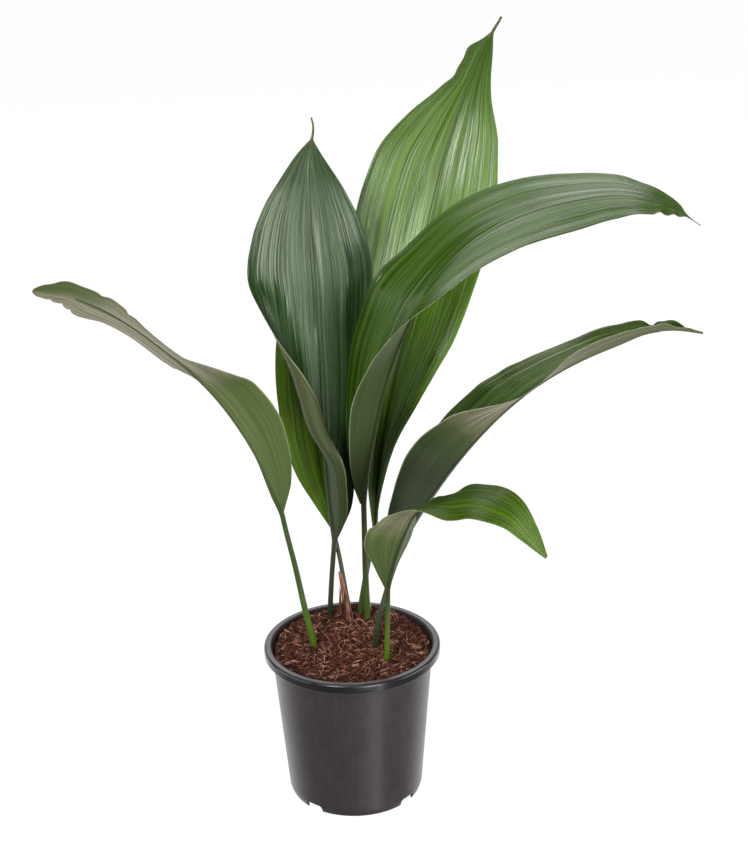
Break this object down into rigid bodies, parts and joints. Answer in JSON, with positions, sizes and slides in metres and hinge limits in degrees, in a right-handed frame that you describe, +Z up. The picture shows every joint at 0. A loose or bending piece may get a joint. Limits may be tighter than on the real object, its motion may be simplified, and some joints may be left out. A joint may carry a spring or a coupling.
{
  "type": "potted cast iron plant",
  "caption": "Cast iron plant with long arching leaves on upright stems, rising from a coir root ball in a round plastic nursery pot.",
  "frame": {"origin": "centre of the pot's underside, on the surface that it stands on", "axes": "+Z up, -Y towards the front of the plant, +X to its right as seen from the front"},
  "size_m": [0.5983, 0.2635, 0.7299],
  "materials": {
    "pot": "satin charcoal black moulded plastic",
    "root_ball": "loose reddish brown coir fibre",
    "rootstock": "knobbly pale brown skin",
    "stem": "smooth green leaf stalk",
    "blade": "leathery green blade with long parallel veins",
    "dry_sheath": "dry papery brown scale",
    "bark": "rough orange brown bark"
  },
  "bodies": {
    "root": {"pot": "pot", "root_ball": "root_ball", "rootstock": "rootstock", "leaf_left_stem": "stem", "leaf_left_blade": "blade", "leaf_centre_stem": "stem", "leaf_centre_blade": "blade", "leaf_behind_stem": "stem", "leaf_behind_blade": "blade", "leaf_tall_stem": "stem", "leaf_tall_blade": "blade", "leaf_arching_stem": "stem", "leaf_arching_blade": "blade", "leaf_right_stem": "stem", "leaf_right_blade": "blade", "leaf_small_stem": "stem", "leaf_small_blade": "blade", "dry_sheath": "dry_sheath", "bark_chip_1": "bark", "bark_chip_2": "bark", "bark_chip_3": "bark", "bark_chip_4": "bark", "bark_chip_5": "bark"}
  },
  "joints": []
}
